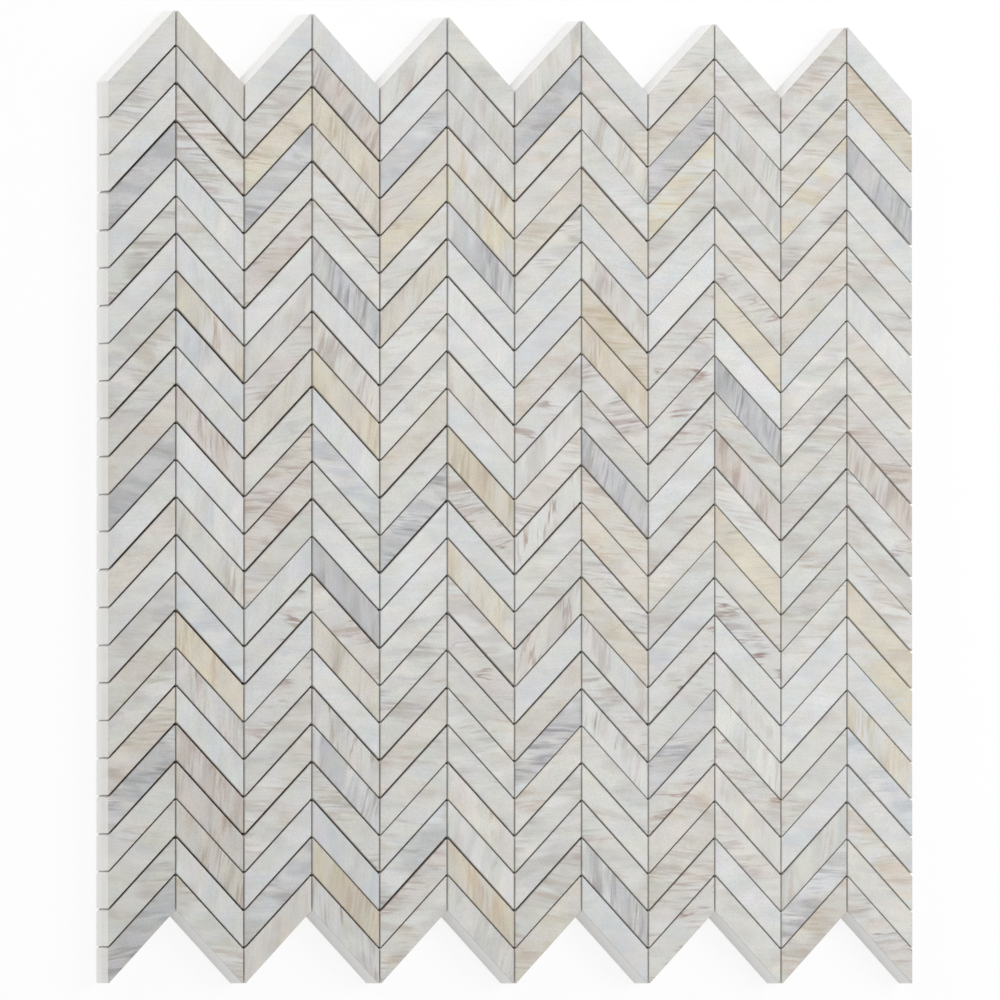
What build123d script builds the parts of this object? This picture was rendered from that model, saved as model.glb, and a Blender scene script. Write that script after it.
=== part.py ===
from build123d import *
import os
from math import cos, radians, tan

# A sheet of marble mosaic in chevron bond. Sawn stone chips, each a parallelogram with mitred ends,
# stand in upright columns that lean left and right in turn, so their sloping edges run across the
# sheet as a zigzag. The joints are open, and an open mesh of flat yarns, glued to the backs of the
# chips, holds the sheet together until it is laid.
#
# The sheet lies face up: +X across the columns, +Y up the columns, +Z out of the polished face.
# The origin is in the middle of the back of the mesh.

# Driving dimensions, in millimetres and degrees
column_count = 12  # columns of chips across the sheet
row_count = 24  # chips up each column
column_pitch = 25.4  # from one column to the next
row_pitch = 12.7  # from one chip to the next, up a column
mitre_angle = 45  # how steeply the long edges of a chip climb from the X axis
joint_width = 0.45  # open joint, measured square to the edges of the chips
chip_thickness = 9.5  # sawn and polished stone, without the mesh
arris = 0.2  # small bevel that is ground round the polished face
tip_blunt = 0.5  # how far the two sharp corners of a chip are worn back along their edges
yarn_pitch = 5.0  # from one yarn of the mesh to the next, both ways
yarn_width = 0.8  # flat width of a yarn
yarn_thickness = 0.25  # a yarn pressed flat, and the mesh is two yarns thick
mesh_margin = 1.5  # how far the mesh is cut back from the middle of the outer joints

# Sizes that follow from them
slope = tan(radians(mitre_angle))
chip_half_width = (column_pitch - joint_width) / 2
chip_upright_edge = row_pitch - joint_width / cos(radians(mitre_angle))
chip_back = 2 * yarn_thickness
sheet_half_width = column_count * column_pitch / 2
sheet_half_height = row_count * row_pitch / 2
tooth_half_height = column_pitch / 2 * slope
sheet_reach = sheet_half_height + tooth_half_height

os.makedirs("parts", exist_ok=True)

# Face of a chip that climbs to the right: two upright edges, joined by two long edges at the mitre
# angle. Its sharp corners, the lowest and the highest, are blunt, because thin points of stone break
# off. A chip that climbs to the left is its mirror image.
with BuildSketch() as rising_chip:
    with BuildLine():
        chip_rise = chip_half_width * slope
        Polyline(
            (-chip_half_width, -chip_rise - chip_upright_edge / 2),
            (chip_half_width, chip_rise - chip_upright_edge / 2),
            (chip_half_width, chip_rise + chip_upright_edge / 2),
            (-chip_half_width, -chip_rise + chip_upright_edge / 2),
            close=True,
        )
    make_face()
    corners = rising_chip.vertices().sort_by(Axis.Y)
    chamfer([corners[0], corners[-1]], length=tip_blunt)

with BuildSketch() as falling_chip:
    mirror(rising_chip.sketch, about=Plane.YZ)

# The columns of chips. Every column has its chips at the same heights, so the long edges of
# neighbours meet in a point at the joint between them, up and down in turn.
for column_index in range(column_count):
    column_x = (column_index + 0.5) * column_pitch - sheet_half_width
    chip = rising_chip if column_index % 2 == 0 else falling_chip
    with BuildPart() as chip_column:
        with BuildSketch(Plane.XY.offset(chip_back)):
            with Locations((column_x, 0)):
                with GridLocations(column_pitch, row_pitch, 1, row_count):
                    add(chip.sketch)
        extrude(amount=chip_thickness)
        face_edges = chip_column.edges().group_by(Axis.Z)[-1]
        chamfer(face_edges, length=arris)
    chip_column.part.label = f"chip_column_{column_index + 1:02d}"
    export_step(chip_column.part, f"parts/{chip_column.part.label}.step")

# Outline that the mesh is cut to: the zigzag of the sheet, drawn along the middle of the outer
# joints and then brought in by the margin.
edge_x = [index * column_pitch - sheet_half_width for index in range(column_count + 1)]
edge_lift = [tooth_half_height if index % 2 else -tooth_half_height for index in range(column_count + 1)]
upper_edge = [(x, sheet_half_height + lift) for x, lift in zip(edge_x, edge_lift)]
lower_edge = [(x, lift - sheet_half_height) for x, lift in zip(edge_x, edge_lift)]

with BuildSketch() as mesh_outline:
    with BuildLine():
        Polyline(*upper_edge, *reversed(lower_edge), close=True)
    make_face()
    offset(amount=-mesh_margin, kind=Kind.INTERSECTION, mode=Mode.REPLACE)

# Warp yarns, the lower layer: they run up the sheet, with one yarn on the middle line.
warp_count = 2 * int((sheet_half_width - mesh_margin) // yarn_pitch) + 1
with BuildPart() as mesh_warp_yarns:
    with BuildSketch():
        with GridLocations(yarn_pitch, yarn_pitch, warp_count, 1):
            Rectangle(yarn_width, 2 * sheet_reach)
        add(mesh_outline.sketch, mode=Mode.INTERSECT)
    extrude(amount=yarn_thickness)
mesh_warp_yarns.part.label = "mesh_warp_yarns"
export_step(mesh_warp_yarns.part, "parts/mesh_warp_yarns.step")

# Weft yarns, the upper layer: they run across, on the warp and against the backs of the chips. In
# the points of the zigzag, an end shorter than one mesh has no warp to hold it and falls away when
# the mesh is cut.
weft_count = 2 * int((sheet_reach - mesh_margin) // yarn_pitch) + 1
with BuildPart() as mesh_weft_yarns:
    with BuildSketch(Plane.XY.offset(yarn_thickness)) as weft_layout:
        with GridLocations(yarn_pitch, yarn_pitch, 1, weft_count):
            Rectangle(2 * sheet_half_width, yarn_width)
        add(mesh_outline.sketch, mode=Mode.INTERSECT)
        held_yarns = weft_layout.sketch_local.faces().filter_by(
            lambda yarn: yarn.bounding_box().size.X > yarn_pitch
        )
        add(held_yarns, mode=Mode.REPLACE)
    extrude(amount=yarn_thickness)
mesh_weft_yarns.part.label = "mesh_weft_yarns"
export_step(mesh_weft_yarns.part, "parts/mesh_weft_yarns.step")
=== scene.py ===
# %% [markdown]
# # A sheet of marble mosaic in chevron bond
#
# The object is one sheet of wall and floor tile: 288 sawn marble chips, glued face up on an open mesh.
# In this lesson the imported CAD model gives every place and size. The script only dresses it: each
# column of chips and each layer of the mesh becomes a finer surface in the same spot, and the stone
# gets its colour, its bedding and its polish from shader nodes.

import bpy
import numpy as np
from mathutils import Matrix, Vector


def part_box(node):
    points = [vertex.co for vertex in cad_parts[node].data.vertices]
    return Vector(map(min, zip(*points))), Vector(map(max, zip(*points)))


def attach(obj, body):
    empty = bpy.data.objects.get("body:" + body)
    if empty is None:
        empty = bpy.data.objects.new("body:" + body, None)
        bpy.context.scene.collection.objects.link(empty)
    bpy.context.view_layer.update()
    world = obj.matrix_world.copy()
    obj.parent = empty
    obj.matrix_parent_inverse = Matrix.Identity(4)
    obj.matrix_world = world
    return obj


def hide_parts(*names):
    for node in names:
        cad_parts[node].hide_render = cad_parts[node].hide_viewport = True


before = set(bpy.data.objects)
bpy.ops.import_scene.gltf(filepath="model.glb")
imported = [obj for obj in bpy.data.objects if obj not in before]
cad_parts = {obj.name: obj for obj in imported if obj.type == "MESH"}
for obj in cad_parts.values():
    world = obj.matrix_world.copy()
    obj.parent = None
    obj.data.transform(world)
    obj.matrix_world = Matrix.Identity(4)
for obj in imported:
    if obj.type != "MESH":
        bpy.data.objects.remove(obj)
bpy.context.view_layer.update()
MM = 0.001
print("CAD nodes:", len(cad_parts))

# %% [markdown]
# ## Measures
#
# The boxes of the first two columns give the width of a chip, the open joint between columns and the
# heights of the back and of the polished face. The long edges climb at 45 degrees, and a chip takes up
# half a column's pitch in height, so the other sizes of a chip follow. Only the number of chips in a
# column and the pitch of the mesh are written here.

# %% Measure the sheet
column_nodes = sorted(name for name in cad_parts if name.startswith("chip_column"))
first_low, first_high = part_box(column_nodes[0])
second_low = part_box(column_nodes[1])[0]
COLUMNS = len(column_nodes)
ROWS = 24
YARN_PITCH = 5 * MM
CHIP_WIDTH = first_high.x - first_low.x
JOINT = second_low.x - first_high.x
COLUMN_PITCH = CHIP_WIDTH + JOINT
ROW_PITCH = COLUMN_PITCH / 2
UPRIGHT_EDGE = ROW_PITCH - JOINT * 2 ** 0.5
CHIP_BACK = first_low.z
CHIP_FACE = first_high.z
SHEET_SIDE = -first_low.x
print(f"chip {CHIP_WIDTH / MM:.2f} mm wide, joint {JOINT / MM:.2f} mm, face at {CHIP_FACE / MM:.2f} mm")

# %% [markdown]
# ## The outline of a chip
#
# Seen from above, a chip is a parallelogram with two upright edges and two long edges. Its sharp
# corners, the tips, are worn blunt and its wide ones only just broken. A bevel modifier could round
# the corners, but it would add faces to 288 chips, so the outline is simply drawn with its corners
# cut, as sixteen points that also let each edge wander by a few hundredths of a millimetre, as a sawn
# edge does.

# %% Draw one chip
TIP_BLUNT = 0.5 * MM
TIP_FRESH = 0.1 * MM
WIDE_BLUNT = 0.1 * MM
# Points of the outline where the cuts of the two tips start and end
TIP_STARTS = [7, 15]
TIP_ENDS = [8, 0]


def chip_outline(rises, tip_cut):
    """Sixteen points round a chip, anticlockwise, about the chip's own middle.

    The corners stand half a width to each side, and the long edges climb as far as they run. An edge
    starts and ends short of its corners by the cut of each corner, and is divided in three. A falling
    chip is the rising one with x turned round, read backwards so that it still runs anticlockwise.
    """
    half = CHIP_WIDTH / 2
    upright = UPRIGHT_EDGE / 2
    corners = np.array(
        [
            [-half, -half - upright],
            [half, half - upright],
            [half, half + upright],
            [-half, upright - half],
        ]
    )
    cuts = np.array([[tip_cut], [WIDE_BLUNT], [tip_cut], [WIDE_BLUNT]])
    next_corners = np.roll(corners, -1, axis=0)
    along = next_corners - corners
    along /= np.linalg.norm(along, axis=1, keepdims=True)
    starts = corners + along * cuts
    ends = next_corners - along * np.roll(cuts, -1, axis=0)
    thirds = np.linspace(0, 1, 4)[:, None]
    outline = (starts[:, None] + (ends - starts)[:, None] * thirds).reshape(-1, 2)
    return outline if rises else outline[::-1] * (-1, 1)


def outward_normals(outline):
    """Unit normal of the edge that leaves each point: the edge turned clockwise by a quarter."""
    edges = np.roll(outline, -1, axis=0) - outline
    normals = np.stack([edges[:, 1], -edges[:, 0]], axis=1)
    return normals / np.linalg.norm(normals, axis=1, keepdims=True)


def inward_mitres(outline):
    """How a point moves when all edges move in by one: -(n + m) / (1 + n.m).

    Here n and m are the normals of the two edges beside the point. The cut at a tip would shrink to
    nothing, so both its ends move as the uncut tip does, by the normals of the edges that meet there.
    """
    after = outward_normals(outline)
    before = np.roll(after, 1, axis=0)
    before[TIP_ENDS] = before[TIP_STARTS]
    after[TIP_STARTS] = after[TIP_ENDS]
    return -(before + after) / (1 + (before * after).sum(axis=1, keepdims=True))


OUTLINE_POINTS = len(chip_outline(True, TIP_BLUNT))
print("points on a chip's outline:", OUTLINE_POINTS)

# %% [markdown]
# ## Chips set by hand
#
# The chips stand on a jig when the mesh is glued to them, and none is quite like the next: one is a
# hair smaller, one slides a little along its column, one is a trace lower. They were cut a little
# smaller for the left of the sheet and a little larger for the right, so the joints get finer from left
# to right. A chip is the outline carried up a short profile: the wall, then an arris ground round the
# polished face in two facets. All 24 chips of a column are worked out at once as an array of chips,
# rings, points and coordinates.

# %% Stand a column of chips
ARRIS = 0.2 * MM
ARRIS_KNEE = 0.29
RING_INSET = np.array([0, 0, ARRIS_KNEE, 1]) * ARRIS
RING_BELOW_FACE = np.array([CHIP_FACE - CHIP_BACK, ARRIS, ARRIS_KNEE * ARRIS, 0])
RINGS = len(RING_INSET)
MOST_TIP_WEAR = 0.5
SMALLER_AT_LEFT = 0.07 * MM
LARGER_AT_RIGHT = 0.04 * MM
CUT_SPREAD = 0.02 * MM
EDGE_WANDER = 0.03 * MM
LEAST_WANDER = 0.4
TURN_SPREAD = 0.0008
SLIDE_AT_LEFT = 0.18 * MM
SLIDE_AT_RIGHT = 0.23 * MM
MOST_SUNK = 0.05 * MM


def column_middle(column):
    """Where a column's middle line stands, from the low side of the first column's box."""
    return first_low.x + CHIP_WIDTH / 2 + column * COLUMN_PITCH


def stand_chips(column, rng):
    """Places of a column's chips, and the same places taken from each chip's own middle.

    The outline lies between a fresh one and a worn one, and the tips on the rim are fully worn. A ring
    is the outline brought in by its inset, by how small the chip was cut and by how its edges wander.
    Chips inside the right half may be cut larger, but none on the rim is. Each chip is then turned a
    little, but not in the outer columns, which stand against the jig, and slides along its column
    unless it is an end chip.
    """
    fresh = chip_outline(column % 2 == 0, TIP_FRESH)
    worn = chip_outline(column % 2 == 0, TIP_BLUNT)
    upper = fresh[:, 1] > 0
    upper_wear = rng.uniform(0, MOST_TIP_WEAR, (ROWS, 1))
    lower_wear = rng.uniform(0, MOST_TIP_WEAR, (ROWS, 1))
    wear = np.where(upper, upper_wear, lower_wear)
    wear[-1, upper] = 1
    wear[0, ~upper] = 1
    outline = fresh + (worn - fresh) * wear[:, :, None]
    from_right = 1 - column / (COLUMNS - 1)
    rows = np.arange(ROWS)
    inner = (rows > 0) & (rows < ROWS - 1)
    large = LARGER_AT_RIGHT * max(0.0, 1 - 2 * from_right) * inner * (column < COLUMNS - 1)
    small = SMALLER_AT_LEFT * from_right + rng.uniform(0, CUT_SPREAD, ROWS) - large
    wander = rng.uniform(0, EDGE_WANDER, (ROWS, 1, OUTLINE_POINTS, 1))
    wander *= LEAST_WANDER + (1 - LEAST_WANDER) * from_right
    brought_in = RING_INSET[:, None, None] + small[:, None, None, None] + wander
    plan = outline[:, None] + inward_mitres(fresh) * brought_in
    turn = rng.normal(0, TURN_SPREAD, (ROWS, 1, 1)) * (0 < column < COLUMNS - 1)
    most_slide = SLIDE_AT_RIGHT + (SLIDE_AT_LEFT - SLIDE_AT_RIGHT) * from_right
    slide = most_slide * rng.uniform(-1, 1, ROWS) * inner
    middle_y = (rows - (ROWS - 1) / 2) * ROW_PITCH + slide
    sunk = rng.uniform(0, MOST_SUNK, ROWS)[:, None] * (np.arange(RINGS) > 0)
    own = np.empty((ROWS, RINGS, OUTLINE_POINTS, 3))
    own[..., 0] = plan[..., 0] * np.cos(turn) - plan[..., 1] * np.sin(turn)
    own[..., 1] = plan[..., 0] * np.sin(turn) + plan[..., 1] * np.cos(turn)
    own[..., 2] = (CHIP_FACE - RING_BELOW_FACE - sunk)[:, :, None]
    placed = own.copy()
    placed[..., 0] += column_middle(column)
    placed[..., 1] += middle_y[:, None, None]
    return placed, own


print("rings on a chip:", RINGS, "and facets:", (RINGS - 1) * OUTLINE_POINTS + 2)

# %% [markdown]
# ## Faces of the chips
#
# Between two rings lies a strip of four-sided facets, and the first and last rings are closed by one
# face each. The strip of the wall and the back are sawn, and everything above is polished. Each facet
# is also told whether it looks into a joint, out of the rim of the sheet or onto the mesh, because the
# saw's slurry with its painted shade, the painted light on the rim and the glue only go in some of
# these places.

# %% Number the faces
# Slurry with painted shade in the joints: the share kept on upright walls and the share lost towards the
# right of the sheet
UPRIGHT_SLURRY_AND_SHADE = 0.12
SLURRY_AND_SHADE_LOST = 0.95
# Painted light on the side rims: a share of the whitening that the zigzag rims get in full
SIDE_PAINTED_LIGHT = 0.3


def chip_faces():
    """Corner numbers of all facets of a column: wall strip, arris strips, faces and backs."""
    number = np.arange(ROWS * RINGS * OUTLINE_POINTS).reshape(ROWS, RINGS, OUTLINE_POINTS)
    turned = np.roll(number, -1, axis=2)
    strips = np.stack([number[:, :-1], turned[:, :-1], turned[:, 1:], number[:, 1:]], axis=-1)
    walls = strips[:, 0].reshape(-1, 4)
    arrises = strips[:, 1:].reshape(-1, 4)
    return walls, arrises, number[:, -1], number[:, 0, ::-1]


def joint_walls(column):
    """How much slurry and painted shade each wall facet holds, and how much painted light whitens it.

    Sloping facets hold the most slurry and painted shade, and all hold less towards the right of the
    sheet, so the joints are painted lighter there and on upright walls. Rim facets hold none and get
    painted light instead, in full on the zigzag rims and a little on the sides. The two parts of a
    facet's normal are alike where it slopes, and one is near 1 where it is upright or level.
    """
    across, up = outward_normals(chip_outline(column % 2 == 0, TIP_BLUNT)).T
    rows = np.arange(ROWS)[:, None]
    sloping = np.abs(np.abs(across) - np.abs(up)) < 0.1
    held = np.where(sloping, 1.0, UPRIGHT_SLURRY_AND_SHADE) * (1 - SLURRY_AND_SHADE_LOST * column / COLUMNS)
    zigzag_rim = (rows == 0) & (up < -0.5) | (rows == ROWS - 1) & (up > 0.5)
    side_rim = (column == 0) & (across < -0.9) | (column == COLUMNS - 1) & (across > 0.9)
    rim_painted_light = np.where(zigzag_rim, 1.0, np.where(side_rim, SIDE_PAINTED_LIGHT, 0.0))
    return np.where(rim_painted_light > 0, 0.0, held), rim_painted_light


print("facets in a column:", sum(len(part) for part in chip_faces()))

# %% [markdown]
# ## Which slab each chip was sawn from
#
# The chips come from offcuts of many slabs of one pale bedded marble. Most are misty grey-white. Some
# are cold snow white, some ivory, and a few are honey, smoke or rose, have patches of gold or of blue,
# or are crossed by red-brown wisps. Each kind of slab has a few ground tones, a few tones for its broad
# bands, called its zone, and a few for its veins, and says how strongly banded, streaked and wisped it
# is. The kinds are dealt out at random from a fixed seed, and chips that catch the eye on the sheet are
# then named one by one, by column from the left and by row from the top.

# %% Describe the slabs
SLABS = {
    "mist": {
        "ground": "CFCFCB CDCCC7 D3D2CE D0CFCA", "zone": "DAD9D5 C4C1BC C2C1BE D5D3CC",
        "vein": "A4978D 9B938F AB9A8B", "banded": (0.5, 1.0), "streaked": (0.15, 0.85), "wisped": (0.0, 0.35),
    },
    "snow": {
        "ground": "D4D4D2 D3D3D1 D6D6D4", "zone": "CFD0D0 DADAD9 CDCFD0",
        "vein": "B4B6B7 B8B4AF", "banded": (0.4, 0.9), "streaked": (0.0, 0.4), "wisped": (0.0, 0.1),
    },
    "ivory": {
        "ground": "D1CDC5 CFCBC3 D3CFC8", "zone": "CDC7BB D6D3CD C8C4BC",
        "vein": "B09E8B AA998A", "banded": (0.5, 1.0), "streaked": (0.2, 0.9), "wisped": (0.0, 0.4),
    },
    "honey": {
        "ground": "D0C9BC D2CBBD CDC6B9", "zone": "D5CEBB C8BEA9 D1CDC7",
        "vein": "A8967A AD987C", "banded": (0.7, 1.0), "streaked": (0.35, 0.9), "wisped": (0.0, 0.5),
    },
    "gilded": {
        "ground": "D0CFCB CDCCC8 D1D1CE", "zone": "D4CDB8 D2C9B3 D1C9BB",
        "vein": "B09B7C A99078", "banded": (0.8, 1.0), "streaked": (0.2, 0.7), "wisped": (0.1, 0.5),
    },
    "blued": {
        "ground": "D1D1CF CECECD D3D3D2", "zone": "C2C5C9 C6C8CB BCBFC2",
        "vein": "A7A8AB A9A6A4", "banded": (0.8, 1.0), "streaked": (0.2, 0.7), "wisped": (0.0, 0.3),
    },
    "smoke": {
        "ground": "BFBFBF BBBBBC C3C3C3", "zone": "D3D3D2 B0B0B2 C9C8C7",
        "vein": "8C8B8F 858489 939090", "banded": (0.8, 1.0), "streaked": (0.8, 1.0), "wisped": (0.0, 0.4),
    },
    "rose": {
        "ground": "CECAC5 CCC8C2 CBC7C2", "zone": "D5D3CE C5BCB4 CDC7BE",
        "vein": "A38E83 9C887E", "banded": (0.6, 1.0), "streaked": (0.4, 1.0), "wisped": (0.3, 0.8),
    },
    "wisp": {
        "ground": "D1D0CC D0CECA D1D1CE", "zone": "D6D5D2 CAC4BE CCCBC9",
        "vein": "947A6F 987B6D 8C7269", "banded": (0.4, 0.9), "streaked": (0.3, 0.7), "wisped": (0.7, 1.0),
    },
}
DEALT = {"mist": 0.48, "snow": 0.20, "ivory": 0.14, "rose": 0.09, "wisp": 0.09}

STANDOUTS = {
    "smoke": {
        1: (4, 12, 20, 24), 3: (4, 23), 4: (7, 15, 20), 5: (3, 13, 22), 6: (6,), 7: (2, 19), 8: (12, 23),
        9: (3, 19), 10: (10,), 11: (23,), 12: (4,),
    },
    "honey": {
        2: (8, 17), 3: (3,), 4: (3, 10, 23), 5: (5,), 6: (4, 12, 15, 23), 8: (8, 9, 14, 16), 10: (8, 14),
        12: (2, 16),
    },
    "gilded": {6: (5,), 7: (3,), 9: (4,), 11: (4,), 12: (17, 19, 22)},
    "blued": {2: (9, 16), 4: (12, 22), 9: (16,), 12: (20,)},
    "rose": {2: (11, 20), 4: (2,), 8: (7,), 12: (11,)},
    "snow": {2: (12, 15, 19), 4: (11,), 9: (6,)},
    "wisp": {2: (18,), 3: (18,), 8: (18,), 9: (11, 17), 10: (20,), 12: (24,)},
}


def linear_tones(words):
    """Hex tones as linear light: (c + 0.055) / 1.055 to the power 2.4, all of these being bright."""
    codes = words.split()
    shares = np.array([[int(code[at:at + 2], 16) / 255 for at in (0, 2, 4)] for code in codes])
    return ((shares + 0.055) / 1.055) ** 2.4


def slab_of_chip(column, rng):
    """Kind of slab of each chip of a column, from the bottom up."""
    kinds = rng.choice(list(DEALT), ROWS, p=list(DEALT.values())).astype(object)
    for kind, places in STANDOUTS.items():
        named = np.array(places.get(column + 1, ()), dtype=int)
        kinds[ROWS - named] = kind
    return kinds


named_chips = sum(len(rows) for places in STANDOUTS.values() for rows in places.values())
print("kinds of slab:", ", ".join(SLABS), "with", named_chips, "chips named")

# %% [markdown]
# ## Tones and bedding of each chip
#
# A chip's marble is a small block out of a big one, so its figure has to come from somewhere else in
# the block than its neighbour's. Every point gets a place in the block: the point's place on its chip,
# turned so that the first coordinate runs along the bedding and the second across it, and moved by a
# random step of some metres. The shader reads that place as an attribute. The bedding lies level in
# most chips and upright in some, mostly in the falling columns and more to the left. In smoke chips it
# is always upright where the chips fall and level where they rise.

# %% Deal tones and bedding
UPRIGHT_LEAN = np.radians(84)
LEAN_SPREAD = 0.08
UPRIGHT_WHERE_RISING = 0.08
UPRIGHT_WHERE_FALLING = 0.85
UPRIGHT_LOST = 0.065
SHADE_SPREAD = 0.012
BLOCK_REACH = 2.0


def upright_share(column):
    """Share of a column's chips with upright bedding. Falling columns lose some with each step right."""
    return UPRIGHT_WHERE_RISING if column % 2 == 0 else UPRIGHT_WHERE_FALLING - UPRIGHT_LOST * column


def chip_marble(column, rng):
    """Ground, band and vein tones, the three strengths of figure and the bedding angle of each chip."""
    kinds = slab_of_chip(column, rng)
    tones = {"ground": [], "zone": [], "vein": []}
    strengths = []
    for kind in kinds:
        slab = SLABS[kind]
        for part in tones:
            tones[part].append(rng.choice(linear_tones(slab[part])))
        strengths.append([rng.uniform(*slab[part]) for part in ("banded", "streaked", "wisped")])
    shade = rng.normal(1, SHADE_SPREAD, (ROWS, 1))
    tones = {part: np.array(rows) * shade for part, rows in tones.items()}
    upright = rng.random(ROWS) < upright_share(column)
    upright = np.where(kinds == "smoke", column % 2 == 1, upright)
    angle = np.where(upright, UPRIGHT_LEAN, 0) + rng.normal(0, LEAN_SPREAD, ROWS)
    return tones, np.array(strengths), angle


def bedding_places(own, angle, rng):
    """Place of every point in the block: its place on the chip, turned by the bedding angle, plus a step."""
    cosine = np.cos(angle)[:, None, None]
    sine = np.sin(angle)[:, None, None]
    places = own.copy()
    places[..., 0] = own[..., 0] * cosine + own[..., 1] * sine
    places[..., 1] = own[..., 1] * cosine - own[..., 0] * sine
    return places + rng.uniform(-BLOCK_REACH, BLOCK_REACH, (ROWS, 1, 1, 3))


print("upright bedding by column:", [round(upright_share(column), 2) for column in range(COLUMNS)])

# %% [markdown]
# ## Small helpers for shader nodes
#
# A material is a graph of nodes. These helpers add a node, fill in its sockets and return the socket
# that carries its result, so that a recipe further down reads from top to bottom like a calculation. A
# value given to a socket may be a number, a colour or another node's result.

# %% Helpers for nodes
def feed(tree, socket, value):
    """Link a result to a socket, or set the socket's own value."""
    if isinstance(value, bpy.types.NodeSocket):
        tree.links.new(value, socket)
    else:
        socket.default_value = value


def node(tree, kind, **settings):
    """A new node with its settings, such as its operation."""
    made = tree.nodes.new(kind)
    for name, value in settings.items():
        setattr(made, name, value)
    return made


def calculate(tree, operation, first, second=0.0):
    """One sum on numbers."""
    made = node(tree, "ShaderNodeMath", operation=operation)
    feed(tree, made.inputs[0], first)
    feed(tree, made.inputs[1], second)
    return made.outputs[0]


def multiply_each(tree, first, second):
    """Two places or colours multiplied part by part: it stretches a place and tints a tone."""
    made = node(tree, "ShaderNodeVectorMath", operation="MULTIPLY")
    feed(tree, made.inputs[0], first)
    feed(tree, made.inputs[1], second)
    return made.outputs["Vector"]


def noise(tree, place, waves, detail=2.0):
    """Smooth noise with a number of waves to the metre along each axis of a place."""
    made = node(tree, "ShaderNodeTexNoise")
    feed(tree, made.inputs["Vector"], multiply_each(tree, place, waves))
    feed(tree, made.inputs["Scale"], 1.0)
    feed(tree, made.inputs["Detail"], detail)
    return made.outputs["Fac"]


def ramp(tree, value, low, high, to_low=0.0, to_high=1.0):
    """A soft step: to_low below low, to_high above high and an S-curve between."""
    made = node(tree, "ShaderNodeMapRange", interpolation_type="SMOOTHSTEP")
    feed(tree, made.inputs["Value"], value)
    feed(tree, made.inputs["From Min"], low)
    feed(tree, made.inputs["From Max"], high)
    feed(tree, made.inputs["To Min"], to_low)
    feed(tree, made.inputs["To Max"], to_high)
    return made.outputs["Result"]


def ridge(tree, value, width):
    """Thin lines where noise passes its middle value: one on the line, fading to nought at a width."""
    from_middle = calculate(tree, "ABSOLUTE", calculate(tree, "SUBTRACT", value, 0.5))
    return ramp(tree, from_middle, 0.0, width, 1.0, 0.0)


def blend_tones(tree, share, first, second):
    """Two colours mixed by a share."""
    made = node(tree, "ShaderNodeMix", data_type="RGBA")
    feed(tree, made.inputs["Factor"], share)
    feed(tree, made.inputs[6], first)
    feed(tree, made.inputs[7], second)
    return made.outputs[2]


def shade_tone(tree, colour, factor):
    """A colour made lighter or darker by a factor."""
    made = node(tree, "ShaderNodeVectorMath", operation="SCALE")
    feed(tree, made.inputs[0], colour)
    feed(tree, made.inputs["Scale"], factor)
    return made.outputs["Vector"]


def reading(tree, name):
    """A node that reads one of the piece's own attributes."""
    return node(tree, "ShaderNodeAttribute", attribute_name=name)


print("node helpers ready")

# %% [markdown]
# ## The figure of the marble
#
# Bedded marble is striped because it was once layered lime mud. Broad soft bands change its tone every
# few millimetres, thin streaks run along them in clusters, and hair lines lie between. All of these
# are noise that is stretched along the bedding: a pattern ten times finer across than along reads as a
# streak. A slow noise first bends the layers a little. Traces of iron and of green minerals tint the
# stone in soft patches, and its crystals give it a fine grain. Because the polished face and the sawn
# walls show the same stone, the figure is a node group that both finishes use. A table gives each
# pattern its waves to the metre along, across and through the bedding, and its octaves of detail.

# %% Build the figure of the marble
PATTERNS = {
    "bend": ((22, 30, 22), 1.0),
    "bands": ((45, 170, 60), 2.0),
    "cloud": ((90, 130, 90), 3.0),
    "blush": ((70, 130, 70), 2.0),
    "cluster": ((48, 110, 60), 1.0),
    "broad": ((50, 400, 200), 2.0),
    "fine": ((85, 950, 260), 2.0),
    "gather": ((85, 190, 90), 1.0),
    "stroke": ((40, 290, 120), 3.0),
    "rosy": ((75, 160, 90), 3.0),
    "golden": ((110, 150, 70), 3.0),
    "hair": ((80, 1500, 300), 1.0),
    "grain": ((2000, 2000, 2000), 1.0),
}
MOST_BEND = 5 * MM
STROKE_WIDTH = 0.05
# Tints from one end of a patch to the other: green to rose, and blue to gold
ROSE_TINTS = ((0.972, 1.008, 1.0, 1), (1.024, 0.997, 1.0, 1))
GOLD_TINTS = ((0.995, 1.0, 1.04, 1), (1.008, 1.004, 0.965, 1))


def pattern(tree, place, name):
    """One of the table's patterns at a place in the block."""
    return noise(tree, place, *PATTERNS[name])


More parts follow.
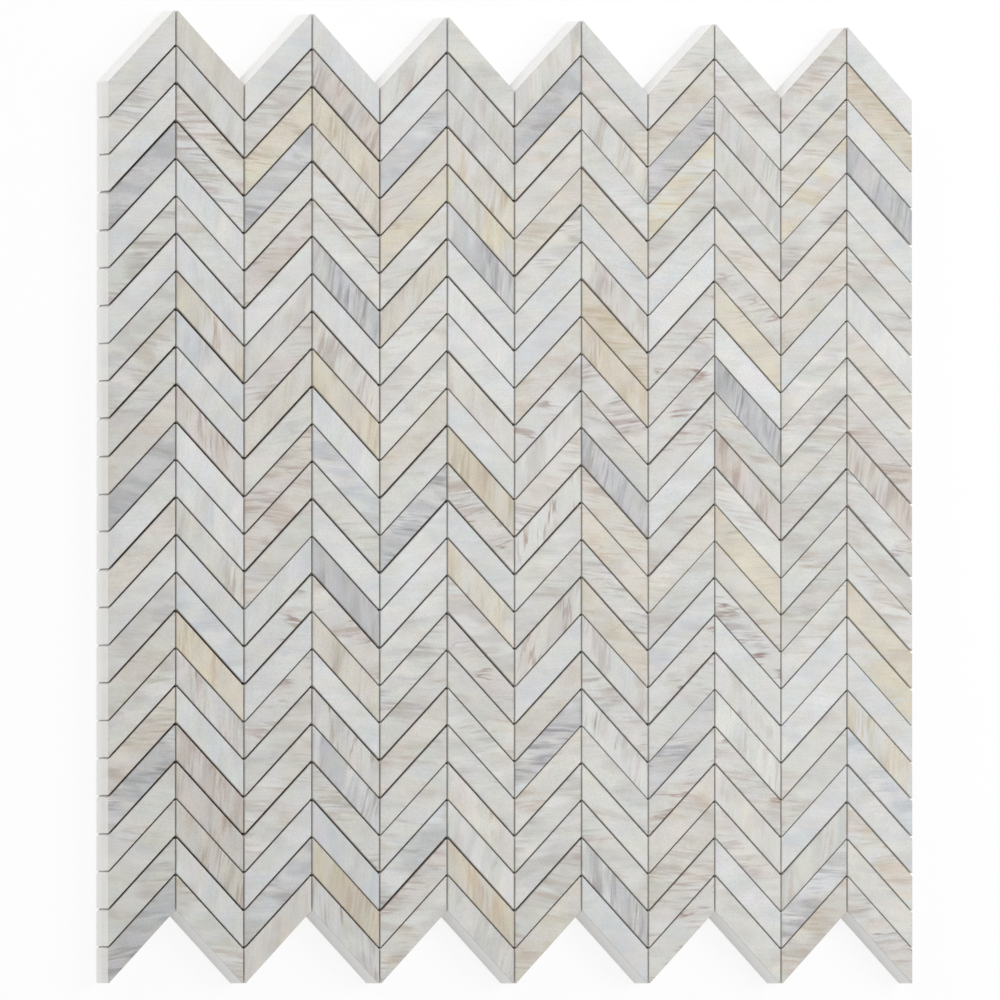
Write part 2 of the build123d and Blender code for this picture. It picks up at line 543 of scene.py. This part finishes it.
def build_marble_figure():
    """Node group: place in the block, three tones and three strengths in, colour and vein mask out."""
    group = bpy.data.node_groups.new("marble_figure", "ShaderNodeTree")
    sockets = (
        ("Place", "NodeSocketVector"), ("Ground", "NodeSocketColor"), ("Zone", "NodeSocketColor"),
        ("Vein", "NodeSocketColor"), ("Strengths", "NodeSocketVector"),
    )
    for name, kind in sockets:
        group.interface.new_socket(name, in_out="INPUT", socket_type=kind)
    group.interface.new_socket("Colour", in_out="OUTPUT", socket_type="NodeSocketColor")
    group.interface.new_socket("Veins", in_out="OUTPUT", socket_type="NodeSocketFloat")
    given = node(group, "NodeGroupInput").outputs
    split = node(group, "ShaderNodeSeparateXYZ")
    feed(group, split.inputs[0], given["Strengths"])
    banded, streaked, wisped = split.outputs

    lift = node(group, "ShaderNodeCombineXYZ")
    bend = pattern(group, given["Place"], "bend")
    feed(group, lift.inputs["Y"], calculate(group, "MULTIPLY", bend, MOST_BEND))
    bent = node(group, "ShaderNodeVectorMath", operation="ADD")
    feed(group, bent.inputs[0], given["Place"])
    feed(group, bent.inputs[1], lift.outputs[0])
    place = bent.outputs["Vector"]

    bands = ramp(group, pattern(group, place, "bands"), 0.43, 0.60)
    zoned = calculate(group, "MULTIPLY", bands, banded)
    colour = blend_tones(group, zoned, given["Ground"], given["Zone"])
    cloud = ramp(group, pattern(group, place, "cloud"), 0.28, 0.72, 0.94, 1.04)
    colour = shade_tone(group, colour, cloud)
    blush = ramp(group, pattern(group, place, "blush"), 0.54, 0.72, 0.0, 0.25)
    colour = blend_tones(group, blush, colour, given["Vein"])

    cluster = ramp(group, pattern(group, place, "cluster"), 0.44, 0.62)
    broad = ramp(group, pattern(group, place, "broad"), 0.46, 0.70, 0.0, 0.75)
    fine = ramp(group, pattern(group, place, "fine"), 0.46, 0.72, 0.0, 0.9)
    streak = calculate(group, "MULTIPLY", cluster, calculate(group, "MAXIMUM", broad, fine))
    streaks = calculate(group, "MULTIPLY", streak, streaked)
    colour = blend_tones(group, streaks, colour, given["Vein"])

    gather = ramp(group, pattern(group, place, "gather"), 0.52, 0.70)
    stroke = ridge(group, pattern(group, place, "stroke"), STROKE_WIDTH)
    wisps = calculate(group, "MULTIPLY", calculate(group, "MULTIPLY", stroke, gather), wisped)
    colour = blend_tones(group, wisps, colour, given["Vein"])

    for name, tints in (("rosy", ROSE_TINTS), ("golden", GOLD_TINTS)):
        patch = ramp(group, pattern(group, place, name), 0.3, 0.7)
        colour = multiply_each(group, colour, blend_tones(group, patch, *tints))

    hair = ramp(group, pattern(group, place, "hair"), 0.3, 0.7, 0.98, 1.018)
    grain = ramp(group, pattern(group, place, "grain"), 0.3, 0.7, 0.945, 1.05)
    colour = shade_tone(group, colour, calculate(group, "MULTIPLY", hair, grain))

    result = node(group, "NodeGroupOutput").inputs
    feed(group, result["Colour"], colour)
    feed(group, result["Veins"], calculate(group, "MAXIMUM", streaks, wisps))
    return group


marble_figure = build_marble_figure()
print("marble figure:", len(marble_figure.nodes), "nodes")

# %% [markdown]
# ## Polished face
#
# The face was ground and polished, so it is smooth and takes a soft reflection of the room. Polish is
# never quite even: the soft veins stay a little duller than the ground, and fine pits stay open, which
# a very shallow bump shows when light grazes the sheet.

# %% Polish the marble
PIT_WAVES = (2600, 2600, 2600)
PIT_DEPTH = 0.02 * MM


def new_material(name):
    """An empty node material with a Principled shader, and its tree."""
    material = bpy.data.materials.new(name)
    material.use_nodes = True
    tree = material.node_tree
    shader = next(made for made in tree.nodes if made.type == "BSDF_PRINCIPLED")
    return material, tree, shader


def add_marble(tree):
    """The figure group, fed with the attributes that each chip carries."""
    figure = node(tree, "ShaderNodeGroup", node_tree=marble_figure)
    feed(tree, figure.inputs["Place"], reading(tree, "bedding").outputs["Vector"])
    for name in ("Ground", "Zone", "Vein"):
        feed(tree, figure.inputs[name], reading(tree, name.lower()).outputs["Color"])
    feed(tree, figure.inputs["Strengths"], reading(tree, "strengths").outputs["Vector"])
    return figure


def add_bump(tree, shader, height, depth):
    """Shallow relief of a given depth in metres, from a height between nought and one."""
    bump = node(tree, "ShaderNodeBump")
    feed(tree, bump.inputs["Distance"], depth)
    feed(tree, bump.inputs["Height"], height)
    feed(tree, shader.inputs["Normal"], bump.outputs["Normal"])


polished_marble, tree, shader = new_material("polished_marble")
figure = add_marble(tree)
feed(tree, shader.inputs["Base Color"], figure.outputs["Colour"])
object_place = node(tree, "ShaderNodeTexCoord").outputs["Object"]
pits = noise(tree, object_place, PIT_WAVES)
dull_veins = ramp(tree, figure.outputs["Veins"], 0.0, 0.8, 0.17, 0.30)
dull_pits = ramp(tree, pits, 0.55, 0.8, 0.0, 0.12)
feed(tree, shader.inputs["Roughness"], calculate(tree, "ADD", dull_veins, dull_pits))
add_bump(tree, shader, ramp(tree, pits, 0.60, 0.74, 1.0, 0.0), PIT_DEPTH)
print("polished marble:", len(tree.nodes), "nodes")

# %% [markdown]
# ## Sawn walls and backs
#
# Where the saw cut, the stone is matt and chalky, with faint marks that follow the blade. Painted light
# whitens the walls on the rim of the sheet and towards the foot of every wall. In the open joints a
# brown tone darkens the walls from just below the arris downwards, which makes the joints dark lines:
# it is the saw's slurry and painted shade together. The painted shade is lighter where joints cross,
# deep down where they open at the sides, towards the right of the sheet and on upright walls. On the
# backs the glue that holds the mesh shows as a yellowish film along the yarns. The wall attribute says
# which facets are which.

# %% Saw the marble
CHALK = (0.86, 0.84, 0.80, 1)
# Pale tone of the painted light on the rim walls and towards the foot of every wall
PAINTED_LIGHT_WHITE = (0.90, 0.895, 0.88, 1)
# Brown saw slurry and painted joint shade in one colour
SLURRY_AND_SHADE = (0.22, 0.148, 0.112, 1)
GLUE = (0.66, 0.58, 0.42, 1)
CHALK_SHARE = 0.60
GLUE_SHARE = 0.7
SAW_MARK_DEPTH = 0.05 * MM
sawn_marble, tree, shader = new_material("sawn_marble")
figure = add_marble(tree)
object_place = node(tree, "ShaderNodeTexCoord").outputs["Object"]
axes = node(tree, "ShaderNodeSeparateXYZ")
feed(tree, axes.inputs[0], object_place)
wall = node(tree, "ShaderNodeSeparateXYZ")
feed(tree, wall.inputs[0], reading(tree, "wall").outputs["Vector"])
in_joint, on_back, rim_painted_light = wall.outputs

chalky = blend_tones(tree, CHALK_SHARE, figure.outputs["Colour"], CHALK)
# Painted light: each wall whitened towards its foot, and the rim walls whitened
foot = ramp(tree, axes.outputs["Z"], CHIP_BACK, CHIP_FACE - 1.0 * MM, 1.0, 0.0)
painted_light_walls = blend_tones(tree, calculate(tree, "MAXIMUM", foot, rim_painted_light), chalky, PAINTED_LIGHT_WHITE)

# Slurry and painted shade in the joints: from a little below the arris downwards, lighter where joints cross
# and deep down at the sheet's sides
slurry_and_shade_noise = noise(tree, object_place, (260, 260, 420), 3.0)
start = ramp(tree, slurry_and_shade_noise, 0.3, 0.7, CHIP_FACE - 0.55 * MM, CHIP_FACE - 0.30 * MM)
below = calculate(tree, "SUBTRACT", start, axes.outputs["Z"])
from_middle = calculate(tree, "ABSOLUTE", axes.outputs["X"])
at_side = ramp(tree, from_middle, SHEET_SIDE - 6 * MM, SHEET_SIDE - 2 * MM)
deep = ramp(tree, below, 1.2 * MM, 2.2 * MM)
inside = calculate(tree, "SUBTRACT", 1.0, calculate(tree, "MULTIPLY", at_side, deep))
to_crossing = calculate(tree, "PINGPONG", axes.outputs["X"], COLUMN_PITCH / 2)
off_crossing = ramp(tree, to_crossing, 0.3 * MM, 1.8 * MM, 0.15, 1.0)
slurry_and_shade = ramp(tree, below, 0.0, 0.9 * MM)
for left_over in (inside, off_crossing, in_joint):
    slurry_and_shade = calculate(tree, "MULTIPLY", slurry_and_shade, left_over)
walled = blend_tones(tree, slurry_and_shade, painted_light_walls, SLURRY_AND_SHADE)

to_yarn = calculate(tree, "PINGPONG", axes.outputs["Y"], YARN_PITCH / 2)
smear = noise(tree, object_place, (340, 520, 300))
reach = ramp(tree, smear, 0.3, 0.7, 0.5 * MM, 2.1 * MM)
film = ramp(tree, calculate(tree, "SUBTRACT", reach, to_yarn), 0.0, 0.5 * MM)
glued = calculate(tree, "MULTIPLY", film, on_back)
backed = blend_tones(tree, calculate(tree, "MULTIPLY", glued, GLUE_SHARE), walled, GLUE)
feed(tree, shader.inputs["Base Color"], backed)
feed(tree, shader.inputs["Roughness"], ramp(tree, glued, 0.0, 1.0, 0.78, 0.38))
saw_marks = noise(tree, object_place, (70, 70, 1900))
add_bump(tree, shader, saw_marks, SAW_MARK_DEPTH)
print("sawn marble:", len(tree.nodes), "nodes")

# %% [markdown]
# ## The columns of chips
#
# Each CAD column is replaced by one mesh of 24 chips in the same place. The arrays go straight into
# the mesh, and the tones, the strengths, the place in the block and the kind of wall go in as
# attributes. Each column has its own seed, so a change to one leaves the others as they are.

# %% Make the columns
FIRST_COLUMN_SEED = 4100


def paint(mesh, name, kind, domain, values):
    """Store an array on a mesh as a named attribute."""
    field = "color" if kind == "FLOAT_COLOR" else "vector"
    attribute = mesh.attributes.new(name, kind, domain)
    attribute.data.foreach_set(field, np.ascontiguousarray(values, "f4").ravel())


def add_piece(name, mesh, slot, *nodes):
    """Put a finished mesh into the scene: it rides on the sheet and stands for its CAD nodes."""
    piece = bpy.data.objects.new(name, mesh)
    bpy.context.scene.collection.objects.link(piece)
    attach(piece, "root")
    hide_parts(*nodes)
    return piece


def make_column(column, replaced):
    """One column of chips as a finished piece."""
    rng = np.random.default_rng(FIRST_COLUMN_SEED + column)
    placed, own = stand_chips(column, rng)
    tones, strengths, angle = chip_marble(column, rng)
    walls, arrises, faces, backs = chip_faces()
    mesh = bpy.data.meshes.new(f"marble_chips_{column + 1:02d}")
    lists = [part.tolist() for part in (walls, arrises, faces, backs)]
    mesh.from_pydata(placed.reshape(-1, 3).tolist(), [], sum(lists, []))
    mesh.materials.append(polished_marble)
    mesh.materials.append(sawn_marble)
    sawn = np.repeat([1, 0, 0, 1], [len(part) for part in lists])
    mesh.polygons.foreach_set("material_index", sawn.astype("i4"))
    # The wall attribute: slurry with painted shade in the joints, glue on the backs and painted light on the
    # rim
    wall_kind = np.zeros((len(sawn), 3))
    held, rim_painted_light = joint_walls(column)
    wall_kind[:len(walls), 0] = held.ravel()
    wall_kind[:len(walls), 2] = rim_painted_light.ravel()
    wall_kind[-len(backs):, 1] = 1
    paint(mesh, "wall", "FLOAT_VECTOR", "FACE", wall_kind)
    points = RINGS * OUTLINE_POINTS
    for part, rows in tones.items():
        solid = np.concatenate([rows, np.ones((ROWS, 1))], axis=1)
        paint(mesh, part, "FLOAT_COLOR", "POINT", np.repeat(solid, points, axis=0))
    paint(mesh, "strengths", "FLOAT_VECTOR", "POINT", np.repeat(strengths, points, axis=0))
    paint(mesh, "bedding", "FLOAT_VECTOR", "POINT", bedding_places(own, angle, rng))
    mesh.update()
    return add_piece(mesh.name, mesh, "polished_marble", replaced)


chip_pieces = [make_column(column, name) for column, name in enumerate(column_nodes)]
chip_facets = sum(len(piece.data.polygons) for piece in chip_pieces)
print("columns made:", len(chip_pieces), "with", chip_facets, "facets")

# %% [markdown]
# ## The mesh on the back
#
# A laid mesh of coated glass yarn holds the sheet together: warp yarns up the sheet, and weft yarns
# across, between the warp and the stone. A yarn is a bundle of fibres that is pressed flat, so its
# section is an oval with flat sides, carried along a straight line and swelling and thinning a little.
# The ends follow the zigzag that the mesh was cut to, and short ends in the points fell away.

# %% Describe a yarn
MESH_MARGIN = 1.5 * MM
HALF_WIDTH = COLUMNS * COLUMN_PITCH / 2 - MESH_MARGIN
HALF_HEIGHT = ROWS * ROW_PITCH / 2
TOOTH = COLUMN_PITCH / 2
CUT_BACK = MESH_MARGIN * 2 ** 0.5
POINTS_START = HALF_HEIGHT - TOOTH - CUT_BACK
POINTS_END = HALF_HEIGHT + TOOTH - CUT_BACK
warp_low, warp_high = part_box("mesh_warp_yarns")
weft_low, weft_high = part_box("mesh_weft_yarns")
YARN_WIDTH = 0.8 * MM
SIDES = 8
FLATTENING = 0.6
THINNEST = 0.78


def yarn_section(thickness):
    """Flat oval: cosine and sine to a power below one, which pushes a circle's points towards a box."""
    angle = (np.arange(SIDES) + 0.5) * 2 * np.pi / SIDES
    circle = np.stack([np.cos(angle), np.sin(angle)], axis=1)
    return np.sign(circle) * np.abs(circle) ** FLATTENING * (YARN_WIDTH / 2, thickness / 2)


def zigzag(x):
    """Height of the cut edge against its middle: a triangle wave, low at the sheet's left edge."""
    turns = (x + COLUMNS * COLUMN_PITCH / 2) / COLUMN_PITCH
    return TOOTH - 2 * TOOTH * np.abs(np.mod(turns, 2) - 1)


def swelling(rng, yarns, steps):
    """Share of the full width along each yarn, smoothed over three steps."""
    rough = rng.uniform(THINNEST, 1.0, (yarns, steps + 2))
    return (rough[:, :-2] + rough[:, 1:-1] + rough[:, 2:])[:, :, None] / 3


print("mesh reaches", round(HALF_WIDTH / MM, 2), "mm each way across")

# %% [markdown]
# A warp yarn runs from the lower cut edge to the upper one. Both are measured at each point's own x,
# so the ends come out slanted like the cut. A weft yarn runs from edge to edge in the middle of the
# sheet. Higher and lower it only exists inside the points of the zigzag, where it is as long as the
# point is wide at each fibre's own height.

# %% Lay the yarns
LONG_STEPS = 121
SHORT_STEPS = 19
YARN_SEED = 77


def warp_points(rng, steps):
    """Warp yarns as a grid of yarns, steps and sides: y goes evenly from the lower cut to the upper one."""
    reach = int(HALF_WIDTH / YARN_PITCH)
    middles = np.arange(-reach, reach + 1)[:, None, None] * YARN_PITCH
    section = yarn_section(warp_high.z - warp_low.z)
    x = middles + section[:, 0] * swelling(rng, len(middles), steps)
    low = zigzag(x) - HALF_HEIGHT + CUT_BACK
    high = zigzag(x) + HALF_HEIGHT - CUT_BACK
    y = low + (high - low) * np.linspace(0, 1, steps)[:, None]
    z = np.broadcast_to((warp_low.z + warp_high.z) / 2 + section[:, 1], x.shape)
    return np.stack([x, y, z], axis=-1)


def weft_points(rng, levels, tips, heading, steps):
    """Weft yarns inside points of the zigzag, as a grid of yarns, steps and sides.

    At a fibre's height the point is as wide to each side as the fibre is below its tip; heading is 1
    for points that look up and -1 for those that look down. The sides of the sheet cut them short. With
    a heading of 0 the yarns run from side to side.
    """
    section = yarn_section(weft_high.z - weft_low.z)
    y = levels[:, None, None] + section[:, 0] * swelling(rng, len(levels), steps)
    half = POINTS_END - heading * y
    left = np.maximum(tips[:, None, None] - half, -HALF_WIDTH)
    right = np.minimum(tips[:, None, None] + half, HALF_WIDTH)
    x = left + (right - left) * np.linspace(0, 1, steps)[:, None]
    z = np.broadcast_to((weft_low.z + weft_high.z) / 2 + section[:, 1], x.shape)
    return np.stack([x, y, z], axis=-1)


def weft_in_points(heading):
    """Levels and tips of the weft yarns in the points, without ends shorter than one mesh."""
    first = int(POINTS_START / YARN_PITCH) + 1
    last = int(POINTS_END / YARN_PITCH)
    joints = np.arange(1 if heading > 0 else 0, COLUMNS + 1, 2)
    edges = (joints - COLUMNS / 2) * COLUMN_PITCH
    levels, tips = np.meshgrid(np.arange(first, last + 1) * YARN_PITCH, edges, indexing="ij")
    half = POINTS_END - levels + YARN_WIDTH / 2
    length = np.minimum(tips + half, HALF_WIDTH) - np.maximum(tips - half, -HALF_WIDTH)
    held = length > YARN_PITCH
    return heading * levels[held], tips[held]


rng = np.random.default_rng(YARN_SEED)
full_reach = int(POINTS_START / YARN_PITCH)
full_levels = np.arange(-full_reach, full_reach + 1) * YARN_PITCH
warp = [warp_points(rng, LONG_STEPS)]
weft = [weft_points(rng, full_levels, np.zeros(len(full_levels)), 0, LONG_STEPS)]
weft += [weft_points(rng, *weft_in_points(heading), heading, SHORT_STEPS) for heading in (1, -1)]
print("warp yarns:", len(warp[0]), "and weft yarns:", sum(len(part) for part in weft))

# %% [markdown]
# ## Coated glass yarn
#
# The yarn is a twist of glass fibres under a thin coat of resin: off-white, a little glossy, with fine
# lines that wind slowly round it. The lines follow an attribute that measures along the yarn and
# round it, because the two layers run in different directions.

# %% Finish the yarn
PALE_YARN = (0.74, 0.73, 0.67, 1)
YELLOWED_YARN = (0.66, 0.63, 0.54, 1)
BETWEEN_FIBRES = (0.50, 0.49, 0.44, 1)
FIBRE_DEPTH = 0.06 * MM
yarn_material, tree, shader = new_material("coated_glass_yarn")
strand = reading(tree, "strand").outputs["Vector"]
fibres = noise(tree, strand, (60, 26, 1))
patches = noise(tree, strand, (90, 0.5, 1))
tone = blend_tones(tree, ramp(tree, patches, 0.35, 0.7), PALE_YARN, YELLOWED_YARN)
tone = blend_tones(tree, ramp(tree, fibres, 0.45, 0.75, 0.0, 0.45), tone, BETWEEN_FIBRES)
feed(tree, shader.inputs["Base Color"], tone)
feed(tree, shader.inputs["Roughness"], ramp(tree, fibres, 0.3, 0.7, 0.36, 0.55))
add_bump(tree, shader, fibres, FIBRE_DEPTH)
print("coated glass yarn:", len(tree.nodes), "nodes")

# %% [markdown]
# ## The two layers of yarn
#
# A yarn is a tube: four-sided facets join each of its rings of eight points to the next, and one face
# closes each end. All yarns of a layer go into one mesh, which stands for the CAD layer, and every point
# carries its place along the yarn, its turn round it and the yarn's own number for the strand's shader.

# %% Make the two layers of yarn
TURNS_TO_THE_METRE = 40
BETWEEN_YARNS = 3.7


def tube_faces(yarns, steps, first):
    """Side facets and end faces of tubes whose points are numbered by yarn, step and side."""
    number = np.arange(yarns * steps * SIDES).reshape(yarns, steps, SIDES) + first
    turned = np.roll(number, -1, axis=2)
    sides = np.stack([number[:, :-1], turned[:, :-1], turned[:, 1:], number[:, 1:]], axis=-1)
    return sides.reshape(-1, 4), number[:, 0, ::-1], number[:, -1]


def make_yarns(name, grids, along, replaced):
    """One layer of yarns, along x or y, as a finished piece. Tubes along y are turned right side out."""
    mesh = bpy.data.meshes.new(name)
    faces = []
    strands = []
    first = 0
    for grid in grids:
        yarns, steps, sides = grid.shape[:3]
        parts = tube_faces(yarns, steps, first)
        faces += [face for part in parts for face in (part if along == 0 else part[:, ::-1]).tolist()]
        twist = np.arange(sides) / sides + grid[..., along] * TURNS_TO_THE_METRE
        which = np.broadcast_to(np.arange(yarns)[:, None, None] * BETWEEN_YARNS, twist.shape)
        strands.append(np.stack([grid[..., along], twist, which], axis=-1).reshape(-1, 3))
        first += yarns * steps * sides
    points = np.concatenate([grid.reshape(-1, 3) for grid in grids])
    mesh.from_pydata(points.tolist(), [], faces)
    mesh.materials.append(yarn_material)
    mesh.polygons.foreach_set("use_smooth", np.ones(len(mesh.polygons), dtype=bool))
    paint(mesh, "strand", "FLOAT_VECTOR", "POINT", np.concatenate(strands))
    mesh.update()
    return add_piece(name, mesh, "mesh_yarn", replaced)


warp_piece = make_yarns("warp_yarns", warp, 1, "mesh_warp_yarns")
weft_piece = make_yarns("weft_yarns", weft, 0, "mesh_weft_yarns")
print("yarn facets:", len(warp_piece.data.polygons), "and", len(weft_piece.data.polygons))

# %% [markdown]
# ## Floor
#
# The sheet lies on a plain white table. To the camera, and in reflections, most of the table is an
# even white, and the rest is an ordinary matt surface that takes the sheet's soft shadow. To the light
# that bounces round it is a matt pale surface all over.

# %% Lay the floor
FLOOR_REACH = 15.0
MATT_SHARE = 0.16
WHITE = (1, 1, 1, 1)
TABLE_TONE = (0.86, 0.86, 0.86, 1)
floor_mesh = bpy.data.meshes.new("floor")
floor_corners = np.array([[-1, -1, 0], [1, -1, 0], [1, 1, 0], [-1, 1, 0]]) * FLOOR_REACH
floor_mesh.from_pydata(floor_corners.tolist(), [], [[0, 1, 2, 3]])
floor = bpy.data.objects.new("floor", floor_mesh)
bpy.context.scene.collection.objects.link(floor)


def seen_directly(tree):
    """One for rays from the camera, from a reflection or through glass, nought for other light."""
    path = node(tree, "ShaderNodeLightPath").outputs
    seen = calculate(tree, "MAXIMUM", path["Is Camera Ray"], path["Is Glossy Ray"])
    return calculate(tree, "MAXIMUM", seen, path["Is Transmission Ray"])


def shader_mix(tree, share, first, second):
    """Two shaders mixed by a share."""
    made = node(tree, "ShaderNodeMixShader")
    feed(tree, made.inputs[0], share)
    feed(tree, made.inputs[1], first)
    feed(tree, made.inputs[2], second)
    return made.outputs[0]


floor_material, tree, shader = new_material("white_table")
feed(tree, shader.inputs["Base Color"], TABLE_TONE)
feed(tree, shader.inputs["Roughness"], 0.9)
white = node(tree, "ShaderNodeEmission")
matt = node(tree, "ShaderNodeBsdfDiffuse")
feed(tree, matt.inputs["Color"], WHITE)
seen_table = shader_mix(tree, MATT_SHARE, white.outputs[0], matt.outputs[0])
table = shader_mix(tree, seen_directly(tree), shader.outputs[0], seen_table)
feed(tree, tree.nodes["Material Output"].inputs["Surface"], table)
floor_mesh.materials.append(floor_material)
print("floor laid at z = 0")

# %% [markdown]
# ## Light
#
# A photograph of tile for sale is lit flat, so that the stone shows and nothing glares: an even white
# room gives most of the light. A soft lamp above the right edge makes the left columns a shade darker,
# and a large low lamp beyond the upper left corner lights the walls that look that way and leaves the
# other walls of the joints in shadow.

# %% Light the sheet
ROOM_LIGHT = 0.63
scene = bpy.context.scene
scene.view_settings.view_transform = "Standard"
world = bpy.data.worlds.new("white_room")
world.use_nodes = True
scene.world = world
tree = world.node_tree
room = tree.nodes["Background"]
feed(tree, room.inputs["Color"], WHITE)
feed(tree, room.inputs["Strength"], ROOM_LIGHT)
seen_room = node(tree, "ShaderNodeBackground")
feed(tree, seen_room.inputs["Strength"], 1.0)
feed(tree, seen_room.inputs["Color"], WHITE)
camera_path = node(tree, "ShaderNodeLightPath").outputs["Is Camera Ray"]
backdrop = shader_mix(tree, camera_path, room.outputs[0], seen_room.outputs[0])
feed(tree, tree.nodes["World Output"].inputs["Surface"], backdrop)


def aim(thing, place, target, up):
    """Put a lamp or camera at a place: its -Z axis looks at the target and its Y axis lies near up."""
    back = np.subtract(place, target)
    back = back / np.linalg.norm(back)
    right = np.cross(up, back)
    right /= np.linalg.norm(right)
    matrix = np.eye(4)
    matrix[:3, :3] = np.stack([right, np.cross(back, right), back], axis=1)
    matrix[:3, 3] = place
    thing.matrix_world = matrix.T.tolist()


def add_lamp(name, size, energy, place):
    """A round soft lamp that looks at the middle of the sheet."""
    lamp_data = bpy.data.lights.new(name, "AREA")
    lamp_data.shape = "DISK"
    lamp_data.size = size
    lamp_data.energy = energy
    lamp = bpy.data.objects.new(name, lamp_data)
    scene.collection.objects.link(lamp)
    aim(lamp, place, (0, 0, 0), (0, 0, 1))


add_lamp("soft_lamp", size=0.9, energy=4.0, place=(0.64, 0.20, 0.80))
add_lamp("raking_lamp", size=1.2, energy=15.0, place=(-1.8, 1.4, 0.70))
print("room strength:", ROOM_LIGHT)

# %% [markdown]
# ## Camera
#
# The photograph looks down on the sheet from a little to its left and from far away through a long
# lens: the upright joints stay parallel and the columns look narrower than they are. The left side
# walls of the first column just show.

# %% Set the camera
SENSOR_WIDTH = 36
LENS = 635.3
DISTANCE = 6.0
YAW = np.radians(26.0)
PITCH = np.radians(-1.53)
camera_data = bpy.data.cameras.new("camera")
camera_data.sensor_width = SENSOR_WIDTH
camera_data.lens = LENS
camera_data.clip_end = 100
camera = bpy.data.objects.new("camera", camera_data)
scene.collection.objects.link(camera)
scene.camera = camera
target = np.array([-5.6 * MM, 0.2 * MM, CHIP_FACE])
towards = np.array([-np.sin(YAW) * np.cos(PITCH), np.sin(PITCH), np.cos(YAW) * np.cos(PITCH)])
aim(camera, target + DISTANCE * towards, target, (0, 1, 0))
print("camera at", np.round(np.array(camera.matrix_world.translation), 3))
